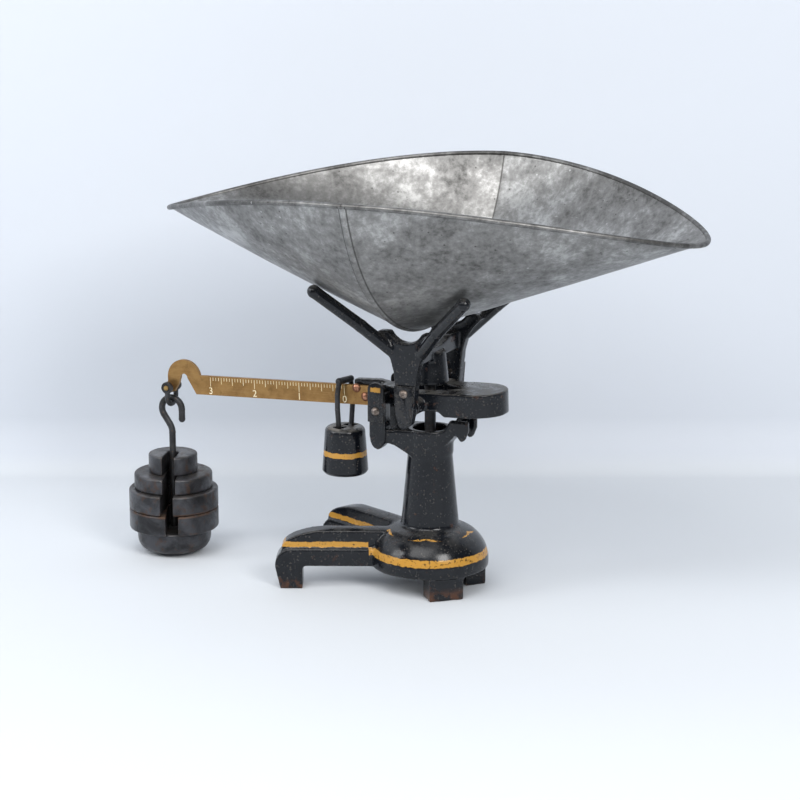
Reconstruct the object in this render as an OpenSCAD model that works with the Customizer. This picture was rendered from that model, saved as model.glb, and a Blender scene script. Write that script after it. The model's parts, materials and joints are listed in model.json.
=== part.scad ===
// Counter scale: a cast base and column, a brass beam with a sliding poise, slotted weights on a
// hanger, and a lift-off tin scoop on a four-prong carrier that a check link keeps upright.
// Millimetres, +Z up. The beam's long arm points to -X and its tail to +X.
// The origin is on the table, under the middle of the whole outline.

/* [Base] */
// Height of the cup rim on top of the column
cup_top = 124; // [120:0.5:126]
// Outer radius of the cup
cup_r = 17.6; // [17:0.1:19]
// Bore of the cup and column
bore_r = 13; // [11:0.5:14]
// Radius of the column where it meets the hub
column_foot_r = 21.8; // [20:0.1:23]
// Reach of the long legs from the column's axis
leg_reach = 117; // [105:1:125]
// Splay of each long leg from the beam's plane
leg_splay = 24; // [20:1:30]
// Half width of a long leg
leg_half_w = 10; // [8:0.5:12]
// Wall of the hub casting
hub_wall = 5; // [4:0.5:7]

/* [Beam] */
// Height of the fulcrum above the table
pivot_z = 145.5; // [144:0.5:147]
// Distance from the fulcrum to the load knives
short_arm = 35; // [33:0.5:36]
// Tip-down angle of the beam at rest
tilt = 2.4; // [1:0.1:2.6]
// Distance from the fulcrum to the tip pivot
tip_arm = 187; // [180:1:195]
// Distance from the fulcrum to the bar's zero mark
zero_arm = 35.5; // [35:0.5:37]
// Height of the brass bar
bar_h = 15; // [13:0.5:16]
// Thickness of the brass bar
bar_t = 3; // [2.5:0.1:3.5]
// Half width of the tail plate
tail_half_w = 23.5; // [22:0.5:25]

/* [Carrier and scoop] */
// Outer face of the carrier's legs, from the beam's plane
leg_face = 46; // [45:0.5:48]
// Distance of the prong tips along the beam
prong_x = 58.7; // [50:0.1:62]
// Distance of the prong tips across the beam
prong_y = 75; // [70:0.1:80]
// Half length of the scoop
scoop_half_len = 211.5; // [200:0.5:225]
// Half width of the scoop at its seam
scoop_half_w = 146; // [135:1:155]
// Height of the scoop's lowest point
scoop_bottom = 200; // [200:1:206]
// Height of the rim at the seam
rim_mid_z = 311; // [300:1:320]
// Height of the rim at the tips
rim_tip_z = 277.5; // [270:0.5:285]
// Thickness of the tinned sheet
sheet_t = 1; // [0.8:0.1:1.5]
// Radius of the wired rim
rim_r = 1.9; // [1.5:0.1:2.5]

/* [Poise, hanger and weights] */
// Height of the poise
poise_h = 36.5; // [34:0.5:38]
// Largest radius of the poise
poise_r = 17.6; // [16:0.1:18]
// Radius of the hook rod
hook_r = 2.6; // [2.2:0.1:3]
// Width of the slots in the weights
slot_w = 9.5; // [8:0.5:11]
// Underside of the hanger's base above the table
hanger_z = 2.5; // [2:0.5:4]

/* [Hidden] */
$fn = 64;
eps = 0.01;

// Whole outline
fulcrum_x = -short_arm;
tip_drop = 4;
tip_x = fulcrum_x - tip_arm * cos(tilt) + tip_drop * sin(tilt);
tip_z = pivot_z - tip_arm * sin(tilt) - tip_drop * cos(tilt);
scoop_x = -1.5;
weight_r = 35.1;
column_x = (weight_r - tip_x - scoop_x - scoop_half_len - rim_r) / 2;

// Scoop: radius of its section at the seam, and how fast the rim falls towards the tips
seam_r = (pow(scoop_half_w, 2) + pow(rim_mid_z - scoop_bottom, 2)) / (2 * (rim_mid_z - scoop_bottom));
rim_curve = 1.86;
section_taper = 0.6;

// Hub dome: one arc in section
dome_centre = [17.5, 22];
dome_r = 27;
dome_start = -10;
dome_end = 77;
neck_z = 50;
collar_z = 104.5;
column_top_r = 16.8;

// Long legs
ledge_z = 31;
skirt_z = 17.5;
leg_foot_len = 21;
hub_foot_turn = 48;
foot_slant = 4;
crown_half_w = 7.5;
crown_top = 46;

// Fulcrum stand and beam stop
stand_inner = 9;
stand_outer = 19.5;
stand_half_w = 6.5;
stand_top = 151;
cover_t = 2.5;
arm_bottom = 109.5;
arm_top = 123.5;
stop_inner = 5.5;
stop_outer = 10;
stop_top = 132.8;

// Knives and bearings
knife_half_w = 2.6;
knife_flank = 4.5;
knife_h = 6.5;
bearing_half_w = 4.5;
bearing_h = 9;
bearing_play = 0.05;

// Check linkage
check_z = 24;
pin_r = 2;
pin_clearance = 0.05;
open_clearance = 0.3;
link_half_t = 2.4;
link_eye_r = 3.7;

// Rods
knuckle_swell = 1.06;

// Screws
screw_head_r = 3.4;
screw_shank_r = 1.6;
fulcrum_screw_z = 137;
load_screw_z = 157.8;

// Beam casting, in the beam's own level frame with the fulcrum at the origin
plate_top = 8;
plate_bottom = -9.5;
beam_arm_bottom = -5.8;
tail_end = 96.2;
bar_bottom = -9;
bar_end = -6;
nose_back = 8.5;
nose_end = -28.5;
boss_r = 8.8;
boss_half_w = 8;
knife_boss_y = 34;
neck_outer_r = 14.3;
neck_inner_r = 3.2;
neck_x = -174.6;
neck_z_rel = 3.6;

// Carrier
load_lift = short_arm * sin(tilt);
load_back = short_arm * (1 - cos(tilt));
leg_inner = 37;
leg_bottom = 131.8;
leg_round = 4.8;
leg_knee = [6.1, 141.5];
cover_top = 163.3;
saddle_z = 195;
saddle_r = 15;
bridge_z = 176;
bridge_top = 189;
pillar_bottom = 156.6;
stem_r = 4.2;
prong_r = 4.8;
prong_gap = 0.3;

// Poise
poise_top = 117.5;
poise_taper = 2.2;
loop_turn = -16;
loop_half_w = 8.5;
loop_top_half_w = 6.6;
loop_wire_r = 2;
loop_top_r = 2.6;
loop_foot_r = 7.4;
loop_foot_z = 2.4;

// Stirrup at the tip
stirrup_y = 6.6;
stirrup_drop = 7.5;

// Hanger stack, from the bottom upwards: [radius, height, slot direction]
weight_gap = 0.2;
hanger_base_h = 18;
hanger_base_r = 29;
stack = [[weight_r, 16, -63.5], [weight_r, 15.6, -70], [30.7, 12.4, -67.5], [19.2, 15, -73.5]];
stack_z = [for (i = 0, z = hanger_z + hanger_base_h + weight_gap; i < len(stack);
    z = z + stack[i][1] + weight_gap, i = i + 1) z];

// Placement
module at_column() { translate([column_x, 0, 0]) children(); }
module near_side() { mirror([0, 1, 0]) children(); }
module both_sides() { for (m = [0, 1]) mirror([0, m, 0]) children(); }
module at_fulcrum() { at_column() translate([fulcrum_x, 0, pivot_z]) children(); }
module beam_pose() { at_fulcrum() rotate([0, -tilt, 0]) children(); }
module carrier_pose() { at_column() translate([-load_back, 0, load_lift]) children(); }
module hanging() { at_column() translate([tip_x, 0, 0]) children(); }

// A slab with its outline in the XZ plane, from y0 to y1
module slab(y0, y1) { translate([0, y1, 0]) rotate([90, 0, 0]) linear_extrude(y1 - y0) children(); }

// Ball at a bend or the end of a rod, a little fuller than the rod
module knuckle(r) { sphere(r * knuckle_swell); }

// A round rod along straight stretches, with a knuckle at every point from the given one on
module rod(path, r, first = 0) {
    for (i = [0 : len(path) - 2]) {
        v = path[i + 1] - path[i];
        translate(path[i]) rotate([0, acos(v.z / norm(v)), atan2(v.y, v.x)])
            cylinder(r = r, h = norm(v));
    }
    for (i = [first : len(path) - 1]) translate(path[i]) knuckle(r);
}

// Part of a ring in the XZ plane, about the origin, from angle a0 to a1
module ring_arc(ring_r, wire_r, a0, a1) {
    rotate([90, 0, 0]) rotate([0, 0, a0])
        rotate_extrude(angle = a1 - a0) translate([ring_r, 0]) circle(wire_r);
}

// Round-headed slotted screw along +Y, with the underside of its head at the origin
module screw(turn, shank) {
    difference() {
        rotate([-90, 0, 0]) intersection() {
            translate([0, 0, -screw_head_r * 0.55]) sphere(screw_head_r * 1.14);
            cylinder(r = screw_head_r, h = screw_head_r);
        }
        rotate([0, turn, 0]) translate([-screw_head_r, 1.1, -0.45]) cube([2 * screw_head_r, 2, 0.9]);
    }
    rotate([90, 0, 0]) cylinder(r = screw_shank_r, h = shank);
}

// Base ------------------------------------------------------------------------

// Points of the hub dome's arc at the given radius
function dome_arc(r) = [for (a = [dome_start : (dome_end - dome_start) / 16 : dome_end + eps])
    dome_centre + r * [cos(a), sin(a)]];

module column_solid() {
    rotate_extrude() polygon(concat([[0, skirt_z]], dome_arc(dome_r), [[column_foot_r, neck_z],
        [column_top_r, collar_z], [cup_r, collar_z], [cup_r, cup_top], [0, cup_top]]));
}

module column_hollow() {
    rotate_extrude() polygon(concat([[0, 10], [dome_centre.x + dome_r, 10]],
        dome_arc(dome_r - hub_wall), [[bore_r, neck_z + 5], [bore_r, cup_top + 1], [0, cup_top + 1]]));
}

// Side outline of a long leg: distance from the column's axis, height
module leg_outline(top) {
    end_r = top - skirt_z;
    polygon(concat([[25, skirt_z], [leg_reach - leg_foot_len, skirt_z], [leg_reach - leg_foot_len, 0],
        [leg_reach - foot_slant, 0]],
        [for (a = [0 : 10 : 90]) [leg_reach - end_r * 0.9 * (1 - cos(a)), skirt_z + end_r * sin(a)]],
        [[25, top]]));
}

// Rounded crown along the top of a leg, inset from the ledge
module leg_crown() {
    intersection() {
        slab(-leg_half_w, leg_half_w) polygon(concat([[20, ledge_z - 1], [leg_reach - 5, ledge_z - 1]],
            [for (a = [0 : 10 : 90]) [68 + (leg_reach - 73) * cos(a), ledge_z + 15 * sin(a)]],
            [[20, crown_top + 1]]));
        rotate([90, 0, 90]) translate([0, 0, 20]) linear_extrude(leg_reach - 22)
            translate([0, ledge_z - 4]) intersection() {
                circle(crown_top - ledge_z + 4);
                translate([-crown_half_w, 0]) square([2 * crown_half_w, crown_top]);
            }
    }
}

module leg() {
    difference() {
        slab(-leg_half_w, leg_half_w) leg_outline(ledge_z);
        translate([20, 4 - leg_half_w, -1]) cube([leg_reach - leg_foot_len - 24, 2 * leg_half_w - 8, 27]);
    }
    leg_crown();
}

// Short foot under the hub, reaching up into the dome
module hub_foot() {
    intersection() {
        rotate([0, 0, hub_foot_turn]) translate([24, -13.3, 0]) cube([17, 26.6, 45]);
        union() {
            column_solid();
            cylinder(r = dome_centre.x + dome_r * cos(dome_start), h = skirt_z + 1);
        }
    }
}

module stand_side() {
    // Upright with a notch for its bearing
    translate([fulcrum_x, 0, 0]) difference() {
        slab(stand_inner, stand_outer) union() {
            translate([-stand_half_w, 118]) square([2 * stand_half_w, stand_top - 118]);
            translate([0, 118]) scale([1, 1.7]) circle(stand_half_w);
        }
        translate([-bearing_half_w, 0, pivot_z - bearing_h + 3])
            cube([2 * bearing_half_w, stand_outer + 1, bearing_h * 2]);
        translate([0, 8, fulcrum_screw_z]) rotate([-90, 0, 0]) cylinder(r = screw_shank_r, h = 20);
    }
    // Arm back to the cup
    slab(stand_inner, 16.5) polygon([[fulcrum_x, arm_bottom + 3], [-23, arm_bottom + 1.5], [-8, arm_bottom - 6],
        [-8, arm_top], [-22, arm_top - 0.5], [fulcrum_x, arm_top - 3]]);
}

// U-shaped stop under the beam's tail: a horn from the cup with two cheeks that hang from its end
module beam_stop() {
    difference() {
        union() {
            slab(-stop_outer, stop_outer) polygon([[10, 113], [17, 114], [22.5, 119.5], [26, stop_top],
                [20, stop_top], [16, 126], [10, 122]]);
            both_sides() slab(stop_inner, stop_outer) polygon([[20, stop_top], [34.5, stop_top],
                [34.5, 125], [31.5, 118], [28.5, 117], [24, 123], [20, 127]]);
        }
        translate([cup_r - 2, -stop_inner, 121]) cube([30, 2 * stop_inner, 20]);
    }
}

// Lugs inside the hub that hold the check link's fixed pin
module check_lugs() {
    intersection() {
        column_solid();
        difference() {
            translate([fulcrum_x, 0, 0]) slab(-7, 7) union() {
                translate([-4.5, check_z]) square([9, 20]);
                translate([0, check_z]) circle(4.5);
            }
            translate([-60, -3, 0]) cube([80, 6, 34]);
        }
    }
}

module base_casting() {
    color("#23262b") at_column() difference() {
        union() {
            difference() {
                union() {
                    column_solid();
                    both_sides() rotate([0, 0, 180 - leg_splay]) leg();
                    both_sides() stand_side();
                    beam_stop();
                }
                column_hollow();
            }
            check_lugs();
            both_sides() hub_foot();
        }
        translate([fulcrum_x, -10, check_z]) rotate([-90, 0, 0]) cylinder(r = pin_r, h = 20);
    }
}

// V-shaped seat for a knife edge at the origin, open upwards
module vee_block(y0, y1) {
    slab(y0, y1) polygon([[-bearing_half_w, 3 - bearing_h], [bearing_half_w, 3 - bearing_h],
        [bearing_half_w, 3], [3, 3], [0, -bearing_play], [-3, 3], [-bearing_half_w, 3]]);
}

module fulcrum_bearing() {
    color("#8d8f92") at_fulcrum() vee_block(stand_inner + 0.5, stand_outer);
}

module fulcrum_cover() {
    color("#2a2c2f") at_fulcrum() difference() {
        slab(stand_outer, stand_outer + cover_t) union() {
            translate([-stand_half_w, -17]) square([2 * stand_half_w, 25]);
            translate([0, 8]) scale([1, 0.8]) circle(stand_half_w);
        }
        translate([0, stand_outer - 1, fulcrum_screw_z - pivot_z])
            rotate([-90, 0, 0]) cylinder(r = screw_shank_r, h = 5);
    }
}

module fulcrum_cover_screws() {
    color("#b9b4ac") at_column() for (m = [0, 1]) mirror([0, m, 0])
        translate([fulcrum_x, stand_outer + cover_t, fulcrum_screw_z]) screw(m ? -40 : 25, 10);
}

module base_check_pin() {
    color("#8d8f92") at_column() translate([fulcrum_x, -7, check_z])
        rotate([-90, 0, 0]) cylinder(r = pin_r, h = 14);
}

module check_link() {
    color("#55585c") at_column() translate([fulcrum_x, 0, check_z]) rotate([0, -tilt, 0]) difference() {
        slab(-link_half_t, link_half_t) union() {
            translate([0, -3]) square([short_arm, 6]);
            circle(link_eye_r);
            translate([short_arm, 0]) circle(link_eye_r);
        }
        translate([0, -5, 0]) rotate([-90, 0, 0]) cylinder(r = pin_r + pin_clearance, h = 10);
        translate([short_arm, -5, 0]) rotate([-90, 0, 0]) cylinder(r = pin_r + open_clearance, h = 10);
    }
}

// Beam ------------------------------------------------------------------------

// Knife section with its edge at the origin and its body above
module knife_section() {
    polygon([[0, 0], [knife_half_w, knife_flank], [knife_half_w, knife_h], [-knife_half_w, knife_h],
        [-knife_half_w, knife_flank]]);
}

module fulcrum_knife_solid() { slab(-19, 19) knife_section(); }

module load_knife_solid() {
    translate([short_arm, 0, 0]) slab(26, 44.5) mirror([0, 1]) knife_section();
}

// Plan outline of the two arms and the tail plate
module beam_plan() {
    difference() {
        union() {
            polygon([[4, -boss_half_w], [8.2, -boss_half_w], [19, -tail_half_w], [74, -tail_half_w],
                [74, tail_half_w], [19, tail_half_w], [8.2, boss_half_w], [4, boss_half_w]]);
            translate([tail_end - tail_half_w, 0]) circle(tail_half_w);
        }
        translate([20, 0]) circle(11);
        translate([20, -11]) square([24, 22]);
        polygon([[44, -11], [62, 0], [44, 11]]);
    }
}

module beam_frame() {
    color("#2b2e33") beam_pose() difference() {
        union() {
            // Boss round the fulcrum knife
            slab(-boss_half_w, boss_half_w) circle(boss_r);
            // Nose that the brass bar is riveted to
            slab(bar_t / 2, nose_back) polygon([[nose_end, -4], [0, -boss_r], [0, boss_r],
                [-8, 10.4], [nose_end, 10]]);
            // Arms and tail plate
            translate([0, 0, beam_arm_bottom]) linear_extrude(plate_top - beam_arm_bottom) beam_plan();
            intersection() {
                translate([0, 0, plate_bottom]) linear_extrude(5) beam_plan();
                slab(-40, 40) polygon([[50, -5], [57, plate_bottom - 1], [104, plate_bottom - 1], [104, -4]]);
            }
            // Outboard bosses for the load knives
            both_sides() slab(tail_half_w - 3, knife_boss_y) translate([short_arm, -1]) circle(6.2);
        }
        // Seats for the brass bar, the knives and the rivets
        translate([-60, -bar_t / 2, bar_bottom - 1]) cube([60 + bar_end, bar_t, bar_h + 2]);
        translate([-60, -boss_half_w - 1, -20]) cube([60 + bar_end, boss_half_w + 1 - bar_t / 2, 40]);
        fulcrum_knife_solid();
        both_sides() load_knife_solid();
        rivet_shanks();
    }
}

// Rivet places on the bar, from the fulcrum
rivet_spots = [[-25.2, 3.8], [-18, -2.6]];
rivet_r = 1.8;
module rivet_shanks() {
    for (p = rivet_spots) translate([p.x, -bar_t / 2, p.y]) rotate([-90, 0, 0])
        cylinder(r = rivet_r, h = nose_back + bar_t / 2);
}

module beam_rivets() {
    color("#a9674a") beam_pose() {
        rivet_shanks();
        for (p = rivet_spots) translate([p.x, -bar_t / 2, p.y]) rotate([90, 0, 0]) intersection() {
            translate([0, 0, -2.2]) sphere(4.2);
            cylinder(r = 3.5, h = 3);
        }
    }
}

module beam_bar() {
    color("#b08d4f") beam_pose() slab(-bar_t / 2, bar_t / 2) difference() {
        union() {
            translate([neck_x + 7, bar_bottom]) square([bar_end - neck_x - 7, bar_h]);
            translate([neck_x, neck_z_rel]) circle(neck_outer_r);
            translate([-tip_arm, -tip_drop]) circle(4.6);
            translate([neck_x - neck_outer_r, -tip_drop]) square([11, 8]);
        }
        // Throat of the gooseneck
        translate([neck_x, neck_z_rel]) circle(neck_inner_r);
        polygon([[neck_x - neck_inner_r, neck_z_rel], [neck_x + neck_inner_r, neck_z_rel],
            [neck_x + 10.5, bar_bottom], [neck_x + 10.5, -20], [3 - tip_arm, -20],
            [3.6 - tip_arm, bar_bottom + 1.8], [neck_x - neck_inner_r - 1.8, -1.5]]);
        for (p = rivet_spots) translate(p) circle(rivet_r);
        translate([-tip_arm, -tip_drop]) circle(pin_r);
    }
}

module fulcrum_knife() { color("#8d8f92") beam_pose() fulcrum_knife_solid(); }
module near_load_knife() { color("#8d8f92") beam_pose() near_side() load_knife_solid(); }
module far_load_knife() { color("#8d8f92") beam_pose() load_knife_solid(); }

module tip_pin() {
    color("#a07a45") beam_pose() translate([-tip_arm, -9.2, -tip_drop])
        rotate([-90, 0, 0]) cylinder(r = pin_r, h = 18.4);
}

// Carrier ---------------------------------------------------------------------

// Outline of the lower part of a carrier leg, which its cover shares
module leg_foot_outline(top, half_w) {
    polygon([[-leg_round, leg_bottom + leg_round], [leg_round, leg_bottom + leg_round], leg_knee,
        [half_w, top], [-half_w, top], [-leg_knee.x, leg_knee.y]]);
    translate([0, leg_bottom + leg_round]) circle(leg_round);
}

// The whole leg: it flares upwards to the roots of its two prongs, with a saddle between them
module leg_outline_with_saddle() {
    flare = [[8.4, cover_top], [9.6, 174], [12.5, 184], [18.5, 192.5], [25, 199], [21, 203]];
    leg_foot_outline(cover_top, 8.4);
    difference() {
        polygon(concat(flare, [for (i = [len(flare) - 1 : -1 : 0]) [-flare[i].x, flare[i].y]]));
        translate([0, saddle_z + saddle_r]) circle(saddle_r);
    }
}

// Height of the scoop's outer face at a place
function scoop_z(x, y) = keel_z(x) + arc_r(x) - sqrt(pow(arc_r(x), 2) - y * y);

// The sheet lies askew over the prong's tip, which divides the upright distance by this
prong_skew = 1.24;
prong_tip = [prong_x, prong_y, scoop_z(prong_x - abs(scoop_x), prong_y) - load_lift
    - prong_skew * (prong_r * knuckle_swell + prong_gap)];
prong_path = [[10, 41.4, 186.3], [30, 56.5, 207.4], prong_tip];

module carrier() {
    color("#202226") carrier_pose() difference() {
        union() {
            both_sides() {
                slab(leg_inner, leg_face) leg_outline_with_saddle();
                for (m = [0, 1]) mirror([m, 0, 0]) rod(prong_path, prong_r, first = 1);
            }
            // Bridge between the legs, dished on top under the scoop
            difference() {
                translate([-7, -leg_face + 1, bridge_z]) cube([14, 2 * leg_face - 2, bridge_top - bridge_z]);
                translate([-20, 0, 245]) rotate([0, 90, 0]) cylinder(r = 60, h = 40);
            }
            translate([0, 0, pillar_bottom]) cylinder(r1 = 14, r2 = 11.5, h = bridge_z - pillar_bottom + 5);
        }
        translate([0, 0, pillar_bottom - 1]) cylinder(r = stem_r, h = 21);
        both_sides() {
            translate([-bearing_half_w, leg_inner - 1, pivot_z - 7.5])
                cube([2 * bearing_half_w, 12, bearing_h + 4.5]);
            translate([0, leg_inner - 1, load_screw_z]) rotate([-90, 0, 0])
                cylinder(r = screw_shank_r, h = 12);
        }
    }
}

module carrier_stem() {
    color("#3a3d41") carrier_pose() difference() {
        union() {
            translate([0, 0, check_z + 5]) cylinder(r = stem_r, h = pillar_bottom + 20 - check_z - 5);
            translate([-5, -6.5, check_z - 5.5]) cube([10, 13, 14]);
        }
        translate([-6, -2.8, check_z - 6.5]) cube([12, 5.6, 13]);
        translate([0, -10, check_z]) rotate([-90, 0, 0]) cylinder(r = pin_r, h = 20);
    }
}

module stem_check_pin() {
    color("#8d8f92") carrier_pose() translate([0, -6.5, check_z])
        rotate([-90, 0, 0]) cylinder(r = pin_r, h = 13);
}

module load_bearing() {
    color("#8d8f92") carrier_pose() translate([0, 0, pivot_z]) mirror([0, 0, 1])
        vee_block(leg_inner + 1, leg_face);
}

module load_cover() {
    color("#2a2c2f") carrier_pose() difference() {
        slab(leg_face, leg_face + cover_t) leg_foot_outline(cover_top, 7.8);
        translate([0, leg_face - 1, load_screw_z]) rotate([-90, 0, 0]) cylinder(r = screw_shank_r, h = 5);
    }
}

module load_cover_screws() {
    color("#b9b4ac") carrier_pose() for (m = [0, 1]) mirror([0, m, 0])
        translate([0, leg_face + cover_t, load_screw_z]) screw(m ? 25 : -30, 10);
}

// Scoop -----------------------------------------------------------------------

function along(x) = abs(x) / scoop_half_len;
function keel_z(x) = scoop_bottom + (rim_tip_z - scoop_bottom) * along(x);
function rim_z(x) = rim_mid_z - (rim_mid_z - rim_tip_z) * pow(along(x), rim_curve);
function arc_r(x) = seam_r * (1 - section_taper * pow(along(x), 2));

// Angle from straight down to the rim on the section at x
function rim_angle(x) = acos(1 - (rim_z(x) - keel_z(x)) / arc_r(x));

sheet_rows = 22;
sheet_cols = 28;
sheet_end = 0.998;
// Folded seam across the middle, raised on the outside
seam_half_w = 2.5;
seam_rise = 0.9;
// Two rows step down from the seam, and the others crowd towards the tip, where the outline turns fastest
function row_x(i) = i == 0 ? 0 : i <= 2 ? seam_half_w + (i - 1) * 0.1
    : scoop_half_len * sheet_end * sin(90 * (i - 2) / (sheet_rows - 2));
function outer_offset(i) = i <= 1 ? -seam_rise : 0;
function sheet_point(x, k, t) =
    let (a = rim_angle(x) * (2 * k / sheet_cols - 1), r = arc_r(x))
    [x, (r - t) * sin(a), keel_z(x) + r - (r - t) * cos(a)];

// One half of the scoop: a bent sheet between the seam and the tip
module sheet_half() {
    n = sheet_cols + 1;
    rows = sheet_rows + 1;
    points = concat(
        [for (i = [0 : sheet_rows], k = [0 : sheet_cols]) sheet_point(row_x(i), k, outer_offset(i))],
        [for (i = [0 : sheet_rows], k = [0 : sheet_cols]) sheet_point(row_x(i), k, sheet_t)]);
    inner = n * rows;
    faces = concat(
        [for (i = [0 : sheet_rows - 1], k = [0 : sheet_cols - 1])
            each quad(i * n + k, i * n + k + 1, (i + 1) * n + k + 1, (i + 1) * n + k)],
        [for (i = [0 : sheet_rows - 1], k = [0 : sheet_cols - 1])
            each quad(inner + i * n + k, inner + (i + 1) * n + k, inner + (i + 1) * n + k + 1,
                inner + i * n + k + 1)],
        [for (i = [0 : sheet_rows - 1]) each quad(i * n, (i + 1) * n, inner + (i + 1) * n, inner + i * n)],
        [for (i = [0 : sheet_rows - 1]) each quad(i * n + n - 1, inner + i * n + n - 1,
            inner + (i + 1) * n + n - 1, (i + 1) * n + n - 1)],
        [for (k = [0 : sheet_cols - 1]) each quad(k, inner + k, inner + k + 1, k + 1)],
        [for (k = [0 : sheet_cols - 1]) each quad(sheet_rows * n + k, sheet_rows * n + k + 1,
            inner + sheet_rows * n + k + 1, inner + sheet_rows * n + k)]);
    polyhedron(points, faces);
}
function quad(a, b, c, d) = [[a, b, c], [a, c, d]];

module scoop_left_half() {
    color("#9a9c9d") at_column() translate([scoop_x, 0, 0]) mirror([1, 0, 0]) sheet_half();
}

module scoop_right_half() {
    color("#a3a5a6") at_column() translate([scoop_x, 0, 0]) sheet_half();
}

// Rim: a wire rolled into the sheet's edge, all the way round
rim_steps = 72;
rim_sides = 8;
function rim_point(i) =
    let (turn = 360 * i / rim_steps, x = scoop_half_len * sin(turn), s = sign(cos(turn)))
    [x, s * arc_r(x) * sin(rim_angle(x)), rim_z(x)];
module scoop_rim() {
    points = [for (i = [0 : rim_steps - 1])
        let (c = rim_point(i), v = rim_point(i + 1) - rim_point(i - 1),
            out = [v.y, -v.x, 0] / norm([v.x, v.y]))
        each [for (k = [0 : rim_sides - 1])
            c + rim_r * (cos(360 * k / rim_sides) * out + sin(360 * k / rim_sides) * [0, 0, 1])]];
    faces = [for (i = [0 : rim_steps - 1], k = [0 : rim_sides - 1])
        let (j = (i + 1) % rim_steps, m = (k + 1) % rim_sides)
        each quad(i * rim_sides + k, i * rim_sides + m, j * rim_sides + m, j * rim_sides + k)];
    color("#8a8c8d") at_column() translate([scoop_x, 0, 0]) polyhedron(points, faces);
}

// Poise -----------------------------------------------------------------------

poise_x = fulcrum_x - zero_arm * cos(tilt) - (bar_bottom + bar_h) * sin(tilt);
bar_top_z = pivot_z - zero_arm * sin(tilt) + (bar_bottom + bar_h) * cos(tilt);
loop_top_z = bar_top_z + loop_top_r + 0.4;
module poise_pose() { at_column() translate([poise_x, 0, poise_top]) rotate([0, 0, loop_turn]) children(); }

module poise_loop() {
    top = loop_top_z - poise_top;
    color("#303236") poise_pose() {
        rod([[0, -loop_top_half_w, top], [0, loop_top_half_w, top]], loop_top_r);
        both_sides() rod([[0, loop_top_half_w, top - 1], [0, loop_half_w, top - 10], [0, loop_half_w, 14],
            [0, loop_foot_r, loop_foot_z]], loop_wire_r);
        translate([0, 0, loop_foot_z]) rotate([0, 0, 90]) ring_arc(loop_foot_r, loop_wire_r, 180, 360);
    }
}

module poise() {
    shoulder = 4;
    bridge_r = 1.6;
    bridge_z_rel = loop_foot_z - loop_foot_r + loop_wire_r + bridge_r + 0.1;
    color("#1f2124") poise_pose() {
        difference() {
            rotate_extrude() polygon(concat([[0, -poise_h], [poise_r - 1.8, -poise_h],
                [poise_r, 2.2 - poise_h]],
                [for (a = [0 : 15 : 90]) [poise_r - poise_taper - shoulder * (1 - cos(a)), shoulder * (sin(a) - 1)]],
                [[0, 0]]));
            translate([-3.75, -10.4, -10]) cube([7.5, 20.8, 11]);
        }
        // Bridge across the pocket, which hangs in the loop's foot
        translate([-4, 0, bridge_z_rel]) rotate([0, 90, 0]) cylinder(r = bridge_r, h = 8);
    }
}

// Hanger and weights ------------------------------------------------------------

module tip_stirrup() {
    color("#35373b") hanging() translate([0, 0, tip_z]) {
        both_sides() difference() {
            union() {
                slab(stirrup_y - 1.8, stirrup_y + 1.8) circle(4.6);
                translate([0, stirrup_y, -stirrup_drop]) cylinder(r = 2, h = stirrup_drop - 2);
            }
            rotate([-90, 0, 0]) cylinder(r = pin_r + pin_clearance, h = 20);
        }
        translate([0, 0, -stirrup_drop]) rotate([0, 0, 90]) ring_arc(stirrup_y, 2, 180, 360);
    }
}

hook_arc_r = 8.9;
hook_z = tip_z - stirrup_drop - stirrup_y + 2 + hook_r - hook_arc_r + 0.3;
hook_lean = 35;
module hanger_hook() {
    left = hook_arc_r * [-cos(hook_lean), -sin(hook_lean)];
    bend_r = 12;
    // The lean ends where the bend brings the rod back onto the hanger's axis
    end_x = -bend_r * (1 - cos(hook_lean));
    run = (end_x - left.x) / sin(hook_lean);
    end_z = left.y - run * cos(hook_lean);
    color("#2b2d30") hanging() translate([0, 0, hook_z]) {
        ring_arc(hook_arc_r, hook_r, 0, 180 + hook_lean);
        translate([hook_arc_r, 0, -7.5]) cylinder(r = hook_r, h = 7.5);
        translate([hook_arc_r, 0, -7.5]) knuckle(hook_r);
        translate([hook_arc_r, 0, 0]) knuckle(hook_r);
        rod([[left.x, 0, left.y], [end_x, 0, end_z]], hook_r);
        translate([-bend_r, 0, end_z - bend_r * sin(hook_lean)])
            ring_arc(bend_r, hook_r, 0, hook_lean);
        shank_top = end_z - bend_r * sin(hook_lean);
        shank_foot = hanger_z + 4 - hook_z;
        translate([0, 0, shank_top]) knuckle(hook_r);
        translate([0, 0, shank_foot]) cylinder(r = hook_r, h = shank_top - shank_foot);
    }
}

module hanger_base() {
    h = hanger_base_h;
    color("#33302d") hanging() translate([0, 0, hanger_z]) difference() {
        rotate_extrude() polygon(concat([[0, 0]],
            [for (a = [-90 : 15 : 0]) [20 + 9 * cos(a), 11 + 11 * sin(a)]],
            [[hanger_base_r, h - 1], [hanger_base_r - 1, h], [0, h]]));
        translate([0, 0, 4]) cylinder(r = hook_r, h = h);
    }
}

module slotted_weight(i) {
    r = stack[i][0];
    h = stack[i][1];
    color("#34322f") hanging() translate([0, 0, stack_z[i]]) rotate([0, 0, stack[i][2]]) difference() {
        rotate_extrude() polygon([[0, 0], [r - 0.6, 0], [r, 0.6], [r, h - 1], [r - 1, h], [0, h]]);
        translate([0, 0, -1]) cylinder(r = slot_w / 2, h = h + 2);
        translate([0, -slot_w / 2, -1]) cube([r + 1, slot_w, h + 2]);
    }
}

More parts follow.
